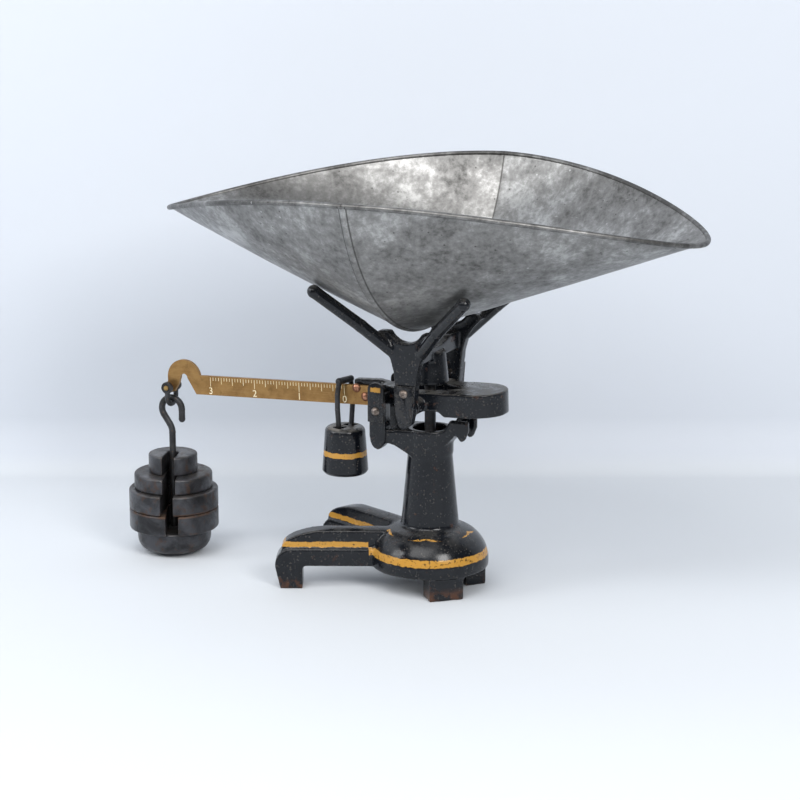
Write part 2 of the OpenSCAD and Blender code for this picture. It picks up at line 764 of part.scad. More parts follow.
base_casting();
near_side() fulcrum_bearing();  // near_fulcrum_bearing
fulcrum_bearing();  // far_fulcrum_bearing
near_side() fulcrum_cover();  // near_fulcrum_cover
fulcrum_cover();  // far_fulcrum_cover
fulcrum_cover_screws();
base_check_pin();
beam_frame();
beam_bar();
beam_rivets();
fulcrum_knife();
near_load_knife();
far_load_knife();
tip_pin();
check_link();
carrier();
carrier_stem();
stem_check_pin();
near_side() load_bearing();  // near_load_bearing
load_bearing();  // far_load_bearing
near_side() load_cover();  // near_load_cover
load_cover();  // far_load_cover
load_cover_screws();
scoop_left_half();
scoop_right_half();
scoop_rim();
poise_loop();
poise();
tip_stirrup();
hanger_hook();
hanger_base();
slotted_weight(0);  // weight_large_lower
slotted_weight(1);  // weight_large_upper
slotted_weight(2);  // weight_medium
slotted_weight(3);  // weight_small
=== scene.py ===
# %% [markdown]
# # A counter scale, from cast iron, brass and tinned sheet
# The frame holds the scale's true sizes and its moving bodies. This lesson gives each of its pieces the look
# of the real thing: soft cast edges, engraved brass, a bent tin scoop, rust, dust and painted lines.
# Everything is in metres, and nothing here moves a body or changes a size.

# %% Load the frame
import json
import math

import bmesh
import bpy
from mathutils import Matrix, Vector, noise

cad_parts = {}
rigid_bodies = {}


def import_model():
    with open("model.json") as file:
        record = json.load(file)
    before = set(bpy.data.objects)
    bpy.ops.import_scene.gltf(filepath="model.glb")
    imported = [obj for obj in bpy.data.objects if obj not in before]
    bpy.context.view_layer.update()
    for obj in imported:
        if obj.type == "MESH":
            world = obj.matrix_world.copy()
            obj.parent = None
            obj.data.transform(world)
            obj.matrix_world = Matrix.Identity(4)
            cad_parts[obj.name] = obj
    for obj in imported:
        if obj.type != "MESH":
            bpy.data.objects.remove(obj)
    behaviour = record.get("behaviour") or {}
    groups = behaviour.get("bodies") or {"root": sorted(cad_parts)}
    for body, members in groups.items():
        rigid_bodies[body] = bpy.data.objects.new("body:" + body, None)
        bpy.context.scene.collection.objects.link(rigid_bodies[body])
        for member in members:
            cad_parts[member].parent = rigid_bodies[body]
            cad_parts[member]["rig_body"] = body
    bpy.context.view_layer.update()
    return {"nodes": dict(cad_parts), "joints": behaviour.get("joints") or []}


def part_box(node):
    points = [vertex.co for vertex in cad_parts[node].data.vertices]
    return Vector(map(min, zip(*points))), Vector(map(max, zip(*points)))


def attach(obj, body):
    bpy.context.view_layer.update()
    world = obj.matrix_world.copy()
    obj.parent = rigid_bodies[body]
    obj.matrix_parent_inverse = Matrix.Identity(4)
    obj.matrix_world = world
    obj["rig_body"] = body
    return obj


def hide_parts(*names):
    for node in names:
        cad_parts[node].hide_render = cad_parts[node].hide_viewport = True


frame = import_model()
MM = 0.001

# %% [markdown]
# ## Landmarks
# Places come from the frame wherever it has them. The joints give the fulcrum and the slope of the bar, and
# the boxes give the axis of the column and the seam of the scoop.

# %% Landmarks
joint = {j["name"]: j for j in frame["joints"]}
fulcrum = Vector(joint["beam_pivot"]["pos_m"])
bar_way = Vector(joint["poise_slide"]["axis"])
tilt = math.atan2(-bar_way.z, -bar_way.x)
beam_pose = Matrix.Translation(fulcrum) @ Matrix.Rotation(-tilt, 4, "Y")


def middle(node):
    """The middle of a node's box."""
    low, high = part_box(node)
    return (low + high) / 2


column = middle("carrier_stem")
seam_x = middle("scoop_rim").x
print("fulcrum", [round(c / MM, 1) for c in fulcrum], "mm, slope", round(math.degrees(tilt), 2), "degrees")

# %% [markdown]
# ## From a mesh to a piece
# A finished piece sits at the origin with its place in its mesh, just as a CAD node does. One helper links
# it, gives it its material, makes it ride on its body and hides the nodes it stands for.

# %% Make a piece
SHARP = math.radians(38)


def mesh_of(bm, name):
    """A bmesh turned into a mesh of the given name."""
    mesh = bpy.data.meshes.new(name)
    bm.to_mesh(mesh)
    bm.free()
    return mesh


def make_piece(mesh, name, nodes, material, sharp=SHARP):
    """An object for a finished mesh, which stands for the named nodes and rides on their body."""
    if isinstance(mesh, bmesh.types.BMesh):
        mesh = mesh_of(mesh, name)
    mesh.name = name
    mesh.polygons.foreach_set("use_smooth", [True] * len(mesh.polygons))
    mesh.set_sharp_from_angle(angle=sharp)
    if not len(mesh.materials):
        mesh.materials.append(material)
    piece = bpy.data.objects.new(name, mesh)
    bpy.context.scene.collection.objects.link(piece)
    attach(piece, frame["nodes"][nodes[0]]["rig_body"])
    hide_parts(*nodes)
    print(f"{name}: {len(mesh.polygons)} faces")
    return piece


# %% [markdown]
# ## Two ways to soften a sharp solid
# A CAD node has knife-sharp edges and loose triangles. Sand-cast iron has no sharp edge anywhere, so a
# casting is a copy that is merged, rebuilt from small voxels and smoothed. A turned or filed piece keeps its
# flats and only loses its corners, so it's a merged copy with small bevels.

# %% Merged copies, castings and filed pieces
MERGE = 0.002 * MM
FLAT = math.radians(1.5)
CORNER = math.radians(28)


def copy_of(node):
    """A bmesh of a CAD node with its triangles joined into one skin."""
    bm = bmesh.new()
    bm.from_mesh(frame["nodes"][node].data)
    bmesh.ops.remove_doubles(bm, verts=bm.verts, dist=MERGE)
    return bm


def final_mesh(data, modifiers=()):
    """What a mesh, text or curve becomes under some modifiers, each given as (type, settings)."""
    holder = bpy.data.objects.new("work", data)
    bpy.context.scene.collection.objects.link(holder)
    for kind, settings in modifiers:
        modifier = holder.modifiers.new(kind, kind)
        for key, value in settings.items():
            setattr(modifier, key, value)
    result = bpy.data.meshes.new_from_object(holder.evaluated_get(bpy.context.evaluated_depsgraph_get()))
    bpy.data.objects.remove(holder)
    return result


def cast_copy(node, voxel, smoothing):
    """A node as a sand casting: voxels of the given size, smoothed a number of times."""
    sharp = mesh_of(copy_of(node), "work")
    soft = final_mesh(sharp, [
        ("REMESH", {"mode": "VOXEL", "voxel_size": voxel, "use_smooth_shade": True}),
        ("SMOOTH", {"factor": 0.5, "iterations": smoothing}),
    ])
    bpy.data.meshes.remove(sharp)
    return soft


def filed_copy(node, width, segments=2):
    """A node with its corners rounded over by the given width."""
    bm = copy_of(node)
    bmesh.ops.dissolve_limit(bm, angle_limit=FLAT, verts=bm.verts, edges=bm.edges)
    corners = [e for e in bm.edges if len(e.link_faces) == 2 and e.calc_face_angle(0) > CORNER]
    bmesh.ops.bevel(bm, geom=corners, offset=width, offset_type="OFFSET", affect="EDGES", segments=segments,
                    profile=0.5, material=-1, clamp_overlap=True)
    return bm


# %% [markdown]
# ## Node helpers
# Shader trees are long to write by hand. These helpers add a node, set or link its inputs in one line, and
# make a group with named sockets. Effects that several finishes share are groups, and the shader stays in
# each material.

# %% Node helpers
def add(tree, kind, inputs=None, **settings):
    """A shader node. Each input is a value, or a socket to link to it."""
    made = tree.nodes.new("ShaderNode" + kind)
    for key, value in settings.items():
        setattr(made, key, value)
    for key, value in (inputs or {}).items():
        if isinstance(value, bpy.types.NodeSocket):
            tree.links.new(value, made.inputs[key])
        else:
            made.inputs[key].default_value = value
    return made


def calculate(tree, operation, a, b=0.0):
    """One Math node's result."""
    return add(tree, "Math", {0: a, 1: b}, operation=operation).outputs[0]


def ramp(tree, value, low, high, start=0.0, end=1.0):
    """A value carried smoothly from start to end as it goes from low to high."""
    limits = {"Value": value, "From Min": low, "From Max": high, "To Min": start, "To Max": end}
    return add(tree, "MapRange", limits, interpolation_type="SMOOTHSTEP").outputs["Result"]


def blend_colour(tree, factor, a, b):
    """Two colours mixed by a mask."""
    return add(tree, "Mix", {0: factor, 6: a, 7: b}, data_type="RGBA").outputs[2]


def colour(r, g, b):
    return (r, g, b, 1.0)


def new_group(name, inputs, outputs):
    """A node group with float inputs {name: value} and outputs. Returns tree, inputs and output node."""
    tree = bpy.data.node_groups.new(name, "ShaderNodeTree")
    for label, value in inputs.items():
        tree.interface.new_socket(label, in_out="INPUT", socket_type="NodeSocketFloat").default_value = value
    for label in outputs:
        tree.interface.new_socket(label, in_out="OUTPUT", socket_type="NodeSocketFloat")
    return tree, tree.nodes.new("NodeGroupInput").outputs, tree.nodes.new("NodeGroupOutput")


def use_group(tree, group, **inputs):
    """The first output of a group placed in a tree. An underscore in a name stands for a space."""
    made = tree.nodes.new("ShaderNodeGroup")
    made.node_tree = group
    for key, value in inputs.items():
        socket = made.inputs[key.replace("_", " ")]
        if isinstance(value, bpy.types.NodeSocket):
            tree.links.new(value, socket)
        else:
            socket.default_value = value
    return made.outputs[0]


# %% [markdown]
# ## Shared effects
# - Patches: cloudy areas, for tarnish, mottling and rust.
# - Specks: small separate dots, for chips in lacquer and grains of dust.
# - Wear: the outer corners that hands and cloths rub bare. Pointiness finds them on a dense casting.
# - Dust: what settles on faces that look up.
# - Band: a painted line between two heights, with ragged, chipped edges.
# - Grain: the fine roughness of a sand casting, as a height for bumps.

# %% Patches and specks
def object_noise(tree, scale, detail, roughness=0.6, distortion=0.0):
    place = add(tree, "TexCoord").outputs["Object"]
    return add(tree, "TexNoise", {"Vector": place, "Scale": scale, "Detail": detail, "Roughness": roughness,
                                  "Distortion": distortion}).outputs["Fac"]


patches, given, out = new_group("Patches", {"Scale": 60, "Level": 0.5, "Softness": 0.1}, ["Mask"])
cloud = object_noise(patches, given["Scale"], 6, 0.62, 0.4)
patches.links.new(ramp(patches, cloud, calculate(patches, "SUBTRACT", given["Level"], given["Softness"]),
                       calculate(patches, "ADD", given["Level"], given["Softness"])), out.inputs["Mask"])

specks, given, out = new_group("Specks", {"Scale": 900, "Size": 0.25, "Rarity": 0.5}, ["Mask"])
spread = add(specks, "TexCoord").outputs["Object"]
cells = add(specks, "TexVoronoi", {"Vector": spread, "Scale": given["Scale"]})
dot = ramp(specks, cells.outputs["Distance"], given["Size"],
           calculate(specks, "MULTIPLY", given["Size"], 0.5))
chance = add(specks, "SeparateColor", {0: cells.outputs["Color"]}).outputs[0]
chosen = calculate(specks, "GREATER_THAN", chance, given["Rarity"])
specks.links.new(calculate(specks, "MULTIPLY", dot, chosen), out.inputs["Mask"])
print("groups:", patches.name, specks.name)

# %% Wear, dust, bands and grain
wear, given, out = new_group("Wear", {"Amount": 0.5, "Scale": 180}, ["Mask"])
point = add(wear, "NewGeometry").outputs["Pointiness"]
rubbed = ramp(wear, point, 0.515, 0.58)
broken = ramp(wear, object_noise(wear, given["Scale"], 5, 0.7), 0.38, 0.62)
wear.links.new(calculate(wear, "MULTIPLY", calculate(wear, "MULTIPLY", rubbed, broken), given["Amount"]),
               out.inputs["Mask"])

dust, given, out = new_group("Dust", {"Amount": 0.5, "Scale": 120}, ["Mask"])
facing = add(dust, "SeparateXYZ", {0: add(dust, "NewGeometry").outputs["Normal"]}).outputs["Z"]
settled = ramp(dust, facing, 0.35, 0.95)
uneven = ramp(dust, object_noise(dust, given["Scale"], 7, 0.7), 0.36, 0.64)
dust.links.new(calculate(dust, "MULTIPLY", calculate(dust, "MULTIPLY", settled, uneven), given["Amount"]),
               out.inputs["Mask"])

band, given, out = new_group("Band", {"Height": 0, "Low": 0, "High": 0.005, "Chips": 0.4}, ["Mask"])
EDGE = 0.5 * MM
WANDER = 2.4 * MM
wander = calculate(band, "MULTIPLY", calculate(band, "SUBTRACT", object_noise(band, 260, 3), 0.5), WANDER)
height = calculate(band, "ADD", given["Height"], wander)
above = ramp(band, height, given["Low"], calculate(band, "ADD", given["Low"], EDGE))
below = ramp(band, height, given["High"], calculate(band, "SUBTRACT", given["High"], EDGE))
kept = ramp(band, object_noise(band, 420, 6, 0.75), given["Chips"],
            calculate(band, "ADD", given["Chips"], 0.04))
band.links.new(calculate(band, "MULTIPLY", calculate(band, "MULTIPLY", above, below), kept),
               out.inputs["Mask"])

grain, given, out = new_group("Grain", {"Scale": 700, "Lumps": 0.4}, ["Height"])
fine = object_noise(grain, given["Scale"], 4, 0.65)
lumps = calculate(grain, "MULTIPLY", object_noise(grain, 90, 3), given["Lumps"])
grain.links.new(calculate(grain, "ADD", fine, lumps), out.inputs["Height"])
print("groups:", wear.name, dust.name, band.name, grain.name)


# %% [markdown]
# ## Black japanned iron
# Japan is a thick black lacquer over rough iron. It has a soft gloss, goes dull under dust, chips in specks
# and wears to brown-grey iron on the corners. The same recipe serves every black casting and cover plate,
# with its own amounts of each effect.

# %% Japanned iron
JAPAN = colour(0.0035, 0.0045, 0.0068)
FADED = colour(0.0075, 0.0088, 0.0115)
BARE_IRON = colour(0.062, 0.056, 0.05)
RUST = colour(0.075, 0.030, 0.014)
DUST = colour(0.20, 0.187, 0.168)
OCHRE = colour(0.46, 0.235, 0.040)
JAPAN_BUMP = 0.07 * MM


def new_material(name):
    """A material with a Principled shader and an output. Returns the material, its tree and the shader."""
    material = bpy.data.materials.new(name)
    material.use_nodes = True
    tree = material.node_tree
    return material, tree, tree.nodes["Principled BSDF"]


def connect(tree, shader, **sockets):
    """Links values to the shader's inputs. An underscore in a name stands for a space."""
    for key, value in sockets.items():
        tree.links.new(value, shader.inputs[key.replace("_", " ")])


def bumpy(tree, height, depth, strength=1.0):
    """A normal from a height between 0 and 1 that stands the given depth high."""
    return add(tree, "Bump", {"Height": height, "Distance": depth, "Strength": strength}).outputs["Normal"]


def japanned(name, paint=None, foot=None, dusty=0.35, worn=0.7, rusty=0.5):
    """Japanned iron. paint(tree) gives a mask of gilt lines and foot(tree) one of the rust at the feet."""
    material, tree, shader = new_material(name)
    cloudy = use_group(tree, patches, Scale=45, Level=0.52, Softness=0.12)
    chips = use_group(tree, specks, Scale=420, Size=0.34, Rarity=0.72)
    grains = use_group(tree, specks, Scale=800, Size=0.3, Rarity=0.8)
    rubbed = use_group(tree, wear, Amount=worn)
    settled = use_group(tree, dust, Amount=dusty)
    rusting = calculate(tree, "MULTIPLY", use_group(tree, patches, Scale=110, Level=0.66, Softness=0.05),
                        rusty)
    shade = blend_colour(tree, cloudy, JAPAN, FADED)
    shade = blend_colour(tree, calculate(tree, "MULTIPLY", chips, 0.75), shade, BARE_IRON)
    shade = blend_colour(tree, rusting, shade, RUST)
    if paint:
        gilt = paint(tree)
        shade = blend_colour(tree, gilt, shade, OCHRE)
    shade = blend_colour(tree, rubbed, shade, BARE_IRON)
    if foot:
        shade = blend_colour(tree, foot(tree), shade, RUST)
    shade = blend_colour(tree, calculate(tree, "MULTIPLY", grains, 0.35), shade, DUST)
    shade = blend_colour(tree, settled, shade, DUST)
    dull = calculate(tree, "MAXIMUM", calculate(tree, "MAXIMUM", settled, rubbed), rusting)
    rough = calculate(tree, "ADD", ramp(tree, cloudy, 0, 1, 0.15, 0.27),
                      calculate(tree, "MULTIPLY", dull, 0.35))
    lift = calculate(tree, "SUBTRACT", use_group(tree, grain, Scale=520, Lumps=1.4),
                     calculate(tree, "MULTIPLY", chips, 0.5))
    connect(tree, shader, Base_Color=shade, Roughness=rough, Normal=bumpy(tree, lift, JAPAN_BUMP, 0.6))
    shader.inputs["Specular IOR Level"].default_value = 0.36
    return material


def coordinate(tree, axis):
    """One object coordinate, which on these pieces is a place in the frame."""
    return add(tree, "SeparateXYZ", {0: add(tree, "TexCoord").outputs["Object"]}).outputs[axis]


black_iron = japanned("black_iron")
print("finish:", black_iron.name)

# %% [markdown]
# ## The gilt lines on the base
# A line of ochre-gold paint runs round the hub, one more along the side of each long leg just above its
# ledge, and a thin one with points round the foot of the column. All three are bands of height that only
# count where they belong: the hub's near the column's axis, the legs' away from it, and the thin one close
# to the neck. Rust creeps up from the table on whatever stands near it.

# %% Gilt lines and rusty feet
HUB_LINE = (26.5 * MM, 32.5 * MM)
LEG_LINE = (32.0 * MM, 36.5 * MM)
NECK_LINE = (44.5 * MM, 46.0 * MM)
HUB_REACH = 47 * MM
NECK_REACH = 33 * MM
POINTS = 5
POINT_HEIGHT = 3 * MM
RUST_TOP = 11 * MM
RUST_FULL = 3 * MM


def base_paint(tree):
    x = calculate(tree, "SUBTRACT", coordinate(tree, "X"), column.x)
    y = coordinate(tree, "Y")
    z = coordinate(tree, "Z")
    reach = calculate(tree, "SQRT", calculate(tree, "ADD", calculate(tree, "MULTIPLY", x, x),
                                              calculate(tree, "MULTIPLY", y, y)))
    side = add(tree, "SeparateXYZ", {0: add(tree, "NewGeometry").outputs["Normal"]}).outputs["Z"]
    steep = ramp(tree, calculate(tree, "ABSOLUTE", side), 0.85, 0.7)
    near = calculate(tree, "LESS_THAN", reach, HUB_REACH)
    hub = calculate(tree, "MULTIPLY", use_group(tree, band, Height=z, Low=HUB_LINE[0], High=HUB_LINE[1],
                                                Chips=0.4), near)
    leg = calculate(tree, "MULTIPLY", use_group(tree, band, Height=z, Low=LEG_LINE[0], High=LEG_LINE[1],
                                                Chips=0.36), calculate(tree, "SUBTRACT", 1.0, near))
    turn = calculate(tree, "DIVIDE", calculate(tree, "ARCTAN2", y, x), math.tau / POINTS)
    wave = calculate(tree, "MULTIPLY", calculate(tree, "PINGPONG", turn, 0.5), 2 * POINT_HEIGHT)
    neck = calculate(tree, "MULTIPLY", use_group(tree, band, Height=calculate(tree, "ADD", z, wave),
                                                 Low=NECK_LINE[0], High=NECK_LINE[1], Chips=0.43),
                     calculate(tree, "LESS_THAN", reach, NECK_REACH))
    lines = calculate(tree, "MAXIMUM", hub, calculate(tree, "MULTIPLY", leg, steep))
    return calculate(tree, "MAXIMUM", lines, neck)


def base_feet(tree):
    low = ramp(tree, coordinate(tree, "Z"), RUST_TOP, RUST_FULL)
    ragged = use_group(tree, patches, Scale=90, Level=0.5, Softness=0.08)
    return calculate(tree, "MULTIPLY", calculate(tree, "MULTIPLY", low, ragged), 0.9)


base_iron = japanned("base_iron", base_paint, base_feet, dusty=0.14, worn=0.55)
print("finish:", base_iron.name)

# %% Poise and cover finishes
poise_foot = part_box("poise")[0].z
POISE_LINE = (poise_foot + 14.2 * MM, poise_foot + 18.6 * MM)
cover_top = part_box("near_fulcrum_cover")[1].z
cover_middle = middle("near_fulcrum_cover").x
DAB = (cover_top - 7.5 * MM, cover_top - 3.4 * MM)
DAB_HALF = 3.6 * MM
DAB_FADE = 4.4 * MM


def poise_paint(tree):
    return use_group(tree, band, Height=coordinate(tree, "Z"), Low=POISE_LINE[0], High=POISE_LINE[1],
                     Chips=0.34)


def cover_paint(tree):
    dab = use_group(tree, band, Height=coordinate(tree, "Z"), Low=DAB[0], High=DAB[1], Chips=0.3)
    aside = calculate(tree, "ABSOLUTE", calculate(tree, "SUBTRACT", coordinate(tree, "X"), cover_middle))
    return calculate(tree, "MULTIPLY", dab, ramp(tree, aside, DAB_FADE, DAB_HALF))


poise_iron = japanned("poise_iron", poise_paint, dusty=0.9, worn=0.4, rusty=0.3)
cover_iron = japanned("cover_iron", cover_paint, worn=0.5)
tail_iron = japanned("tail_iron", dusty=0.55, worn=0.8, rusty=0.7)
print("finishes:", poise_iron.name, cover_iron.name, tail_iron.name)

# %% [markdown]
# ## Bare iron, steel, brass and copper
# The hook, the stirrup and the poise's loop are smooth dark iron. Knives, check pins and screws are steel,
# the two rivets are copper, and the pin at the bar's tip is brass. These are metals, so their colour is the
# colour of their reflections. One function makes them all from two colours, a roughness and a few options.

# %% Metal finishes
def metal(name, light, dark, roughness, patch=60, specks_of=None, depth=0.12, metallic=1.0, tint=None):
    """A bare metal that drifts between two colours, with optional specks and a tint for worn corners."""
    material, tree, shader = new_material(name)
    cloudy = use_group(tree, patches, Scale=patch, Level=0.5, Softness=0.16)
    shade = blend_colour(tree, cloudy, light, dark)
    if specks_of:
        dots = use_group(tree, specks, Scale=500, Size=0.36, Rarity=0.7)
        shade = blend_colour(tree, calculate(tree, "MULTIPLY", dots, 0.7), shade, specks_of)
    if tint:
        shade = blend_colour(tree, use_group(tree, wear, Amount=0.8), shade, tint)
    shader.inputs["Metallic"].default_value = metallic
    rough = ramp(tree, cloudy, 0, 1, roughness, roughness + 0.14)
    connect(tree, shader, Base_Color=shade, Roughness=rough,
            Normal=bumpy(tree, use_group(tree, grain, Scale=900, Lumps=0.8), depth * MM, 0.6))
    return material


dark_iron = metal("dark_iron", colour(0.05, 0.05, 0.053), colour(0.026, 0.025, 0.025), 0.36, 90,
                  colour(0.10, 0.06, 0.035), 0.2, 0.6, colour(0.13, 0.125, 0.12))
steel = metal("steel", colour(0.34, 0.33, 0.32), colour(0.16, 0.145, 0.13), 0.34, 200, RUST, 0.08)
screw_steel = metal("screw_steel", colour(0.33, 0.28, 0.25), colour(0.15, 0.12, 0.10), 0.34, 300,
                    colour(0.06, 0.05, 0.045), 0.08)
copper = metal("copper", colour(0.50, 0.25, 0.16), colour(0.25, 0.12, 0.075), 0.34, 350, None, 0.1)
pin_brass = metal("pin_brass", colour(0.50, 0.33, 0.13), colour(0.20, 0.12, 0.05), 0.36, 300, None, 0.1)
print("finishes:", [m.name for m in (dark_iron, steel, screw_steel, copper, pin_brass)])

# %% [markdown]
# ## Rusty weights
# The weights are bare iron, handled until they shine a little. Rust starts where two of them touch and stay
# damp. The joint between the two large ones is by far the rustiest, so it has a band of height of its own,
# and the rest has scattered patches and a little dust.

# %% Weight finish
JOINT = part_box("weight_large_lower")[1].z
JOINT_FADE = 2.6 * MM
JOINT_FULL = 0.4 * MM


def rusted(name):
    material, tree, shader = new_material(name)
    cloudy = use_group(tree, patches, Scale=55, Level=0.5, Softness=0.14)
    shade = blend_colour(tree, cloudy, colour(0.062, 0.063, 0.070), colour(0.018, 0.018, 0.020))
    off_joint = calculate(tree, "ABSOLUTE", calculate(tree, "SUBTRACT", coordinate(tree, "Z"), JOINT))
    at_joint = calculate(tree, "MULTIPLY", ramp(tree, off_joint, JOINT_FADE, JOINT_FULL),
                         use_group(tree, patches, Scale=130, Level=0.46, Softness=0.12))
    blooms = use_group(tree, patches, Scale=150, Level=0.6, Softness=0.07)
    rubbed = use_group(tree, wear, Amount=0.65, Scale=120)
    rusty = calculate(tree, "MAXIMUM", calculate(tree, "MULTIPLY", at_joint, 0.95),
                      calculate(tree, "MULTIPLY", blooms, 0.5))
    shade = blend_colour(tree, rubbed, shade, colour(0.105, 0.085, 0.068))
    shade = blend_colour(tree, rusty, shade, colour(0.085, 0.042, 0.022))
    shade = blend_colour(tree, use_group(tree, dust, Amount=0.32, Scale=90), shade, colour(0.20, 0.18, 0.16))
    shader.inputs["Metallic"].default_value = 0.55
    rough = calculate(tree, "ADD", ramp(tree, cloudy, 0, 1, 0.30, 0.42),
                      calculate(tree, "MULTIPLY", rusty, 0.35))
    connect(tree, shader, Base_Color=shade, Roughness=rough,
            Normal=bumpy(tree, use_group(tree, grain, Scale=420, Lumps=1.2), 0.2 * MM, 0.8))
    return material


weight_iron = rusted("weight_iron")
print("finish:", weight_iron.name, "rusty joint at", round(JOINT / MM, 1), "mm")

# %% [markdown]
# ## Brass, and the bar's engraving
# The bar is brass gone satin, with brown tarnish and fine streaks from polishing. Its engraved marks are cut
# for real with a Boolean, and the cutter's own material stays on the walls and floor of every cut, which is
# where polish dries pale.

# %% Brass finishes
def brass_finish(name):
    material, tree, shader = new_material(name)
    cloudy = use_group(tree, patches, Scale=75, Level=0.5, Softness=0.2)
    stained = use_group(tree, patches, Scale=190, Level=0.62, Softness=0.06)
    streaks = add(tree, "Mapping", {0: add(tree, "TexCoord").outputs["Object"],
                                    "Scale": (25, 1, 1400)}).outputs[0]
    brushed = add(tree, "TexNoise", {"Vector": streaks, "Scale": 1.0, "Detail": 4}).outputs["Fac"]
    shade = blend_colour(tree, cloudy, colour(0.39, 0.225, 0.082), colour(0.27, 0.150, 0.055))
    shade = blend_colour(tree, calculate(tree, "MULTIPLY", stained, 0.55), shade, colour(0.20, 0.115, 0.04))
    shade = blend_colour(tree, ramp(tree, brushed, 0.5, 0.75, 0, 0.3), shade, colour(0.50, 0.32, 0.14))
    shader.inputs["Metallic"].default_value = 0.9
    connect(tree, shader, Base_Color=shade, Roughness=ramp(tree, cloudy, 0, 1, 0.36, 0.5),
            Normal=bumpy(tree, brushed, 0.05 * MM, 0.5))
    return material


brass = brass_finish("brass")
mark_fill = metal("mark_fill", colour(0.86, 0.78, 0.58), colour(0.76, 0.64, 0.40), 0.6, 400, None, 0.05, 0.0)
print("finishes:", brass.name, mark_fill.name)

# %% [markdown]
# ## Tinned sheet
# Old tinplate is mottled: clouds of light and dark grey over each other at three sizes, fine scratches that
# run with the length, small bright spots where tin shows and dark ones where iron does. The clouds also
# change how rough it is, so that they show in the reflections too. Dark lines along each side of the seam's
# bead outside are grime and painted shade, and a thin dark line along the seam inside is a painted shadow.

# %% Tinned sheet
# Dark lines by the seam, by distance off it: grime and painted shade beside the bead outside, a painted
# shadow inside.
GRIME_AND_SHADE_INNER = (2.0 * MM, 2.6 * MM)
GRIME_AND_SHADE_OUTER = (3.6 * MM, 2.8 * MM)
SEAM_SHADOW = (0.9 * MM, 0.4 * MM)


def tinned(name, lighter=0.0):
    material, tree, shader = new_material(name)
    broad = object_noise(tree, 14, 5, 0.6, 0.5)
    middling = object_noise(tree, 48, 7, 0.68, 0.3)
    small = object_noise(tree, 210, 6, 0.7)
    tone = calculate(tree, "ADD", calculate(tree, "MULTIPLY", broad, 0.38),
                     calculate(tree, "ADD", calculate(tree, "MULTIPLY", middling, 0.34),
                               calculate(tree, "MULTIPLY", small, 0.28)))
    tone = calculate(tree, "ADD", tone, lighter)
    dark = blend_colour(tree, ramp(tree, tone, 0.36, 0.52), colour(0.088, 0.086, 0.083),
                        colour(0.235, 0.232, 0.226))
    shade = blend_colour(tree, ramp(tree, tone, 0.49, 0.63), dark, colour(0.48, 0.478, 0.468))
    bright = use_group(tree, specks, Scale=170, Size=0.22, Rarity=0.94)
    shade = blend_colour(tree, calculate(tree, "MULTIPLY", bright, 0.5), shade, colour(0.66, 0.66, 0.65))
    black = use_group(tree, specks, Scale=260, Size=0.24, Rarity=0.93)
    shade = blend_colour(tree, calculate(tree, "MULTIPLY", black, 0.6), shade, colour(0.05, 0.046, 0.042))
    along = add(tree, "Mapping", {0: add(tree, "TexCoord").outputs["Object"], "Scale": (12, 420, 300),
                                  "Rotation": (0.1, 0.2, 0.35)}).outputs[0]
    drawn = add(tree, "TexNoise", {"Vector": along, "Scale": 1.0, "Detail": 3}).outputs["Fac"]
    scratch = ramp(tree, drawn, 0.70, 0.78)
    shade = blend_colour(tree, calculate(tree, "MULTIPLY", scratch, 0.4), shade, colour(0.60, 0.60, 0.59))
    # Painted shade by the seam: the dark lines beside the bead outside are grime and painted shade, and the
    # thin line inside is a painted shadow.
    off_seam = calculate(tree, "ABSOLUTE", calculate(tree, "SUBTRACT", coordinate(tree, "X"), seam_x))
    grime_and_shade = calculate(tree, "MULTIPLY", ramp(tree, off_seam, *GRIME_AND_SHADE_INNER),
                      ramp(tree, off_seam, *GRIME_AND_SHADE_OUTER))
    facing = add(tree, "SeparateXYZ", {0: add(tree, "NewGeometry").outputs["Normal"]}).outputs["Z"]
    line = add(tree, "Mix", {0: calculate(tree, "GREATER_THAN", facing, 0.0),
                             2: calculate(tree, "MULTIPLY", grime_and_shade, 0.75),
                             3: ramp(tree, off_seam, *SEAM_SHADOW, 0, 0.7)}).outputs[0]
    shade = blend_colour(tree, line, shade, colour(0.05, 0.047, 0.043))
    shader.inputs["Metallic"].default_value = 0.85
    rough = calculate(tree, "ADD", ramp(tree, tone, 0.35, 0.65, 0.50, 0.33),
                      calculate(tree, "MULTIPLY", black, 0.2))
    uneven = calculate(tree, "ADD", small, calculate(tree, "MULTIPLY", middling, 1.5))
    lift = calculate(tree, "SUBTRACT", uneven, scratch)
    connect(tree, shader, Base_Color=shade, Roughness=rough, Normal=bumpy(tree, lift, 0.12 * MM, 0.6))
    return material


tin = tinned("tin")
rim_tin = tinned("rim_tin", -0.06)
print("finishes:", tin.name, rim_tin.name)

# %% [markdown]
# ## The castings
# Base, beam, carrier, poise, weights and the hanger's foot came out of sand moulds. The poise's loop, the
# stirrup and the hook are forged, and just as soft. Each is a voxel copy, fine enough to keep its ledges and
# slots, then smoothed until its corners look poured. The two numbers are the voxel's size in millimetres and
# the rounds of smoothing.

# %% Castings
CASTINGS = [
    ("base_casting", "cast_base", 1.05, 5, base_iron),
    ("beam_frame", "cast_beam", 0.8, 5, tail_iron),
    ("carrier", "cast_carrier", 0.8, 8, black_iron),
    ("poise", "cast_poise", 0.6, 4, poise_iron),
    ("poise_loop", "poise_bow", 0.42, 8, dark_iron),
    ("tip_stirrup", "stirrup", 0.42, 6, dark_iron),
    ("hanger_hook", "hook", 0.5, 8, dark_iron),
    ("hanger_base", "hanger_foot", 0.75, 4, weight_iron),
    ("weight_small", "small_weight", 0.7, 3, weight_iron),
    ("weight_medium", "medium_weight", 0.75, 3, weight_iron),
    ("weight_large_upper", "upper_large_weight", 0.8, 3, weight_iron),
    ("weight_large_lower", "lower_large_weight", 0.8, 3, weight_iron),
]
for node, name, voxel, smoothing, finish in CASTINGS:
    make_piece(cast_copy(node, voxel * MM, smoothing), name, [node], finish, sharp=math.pi)

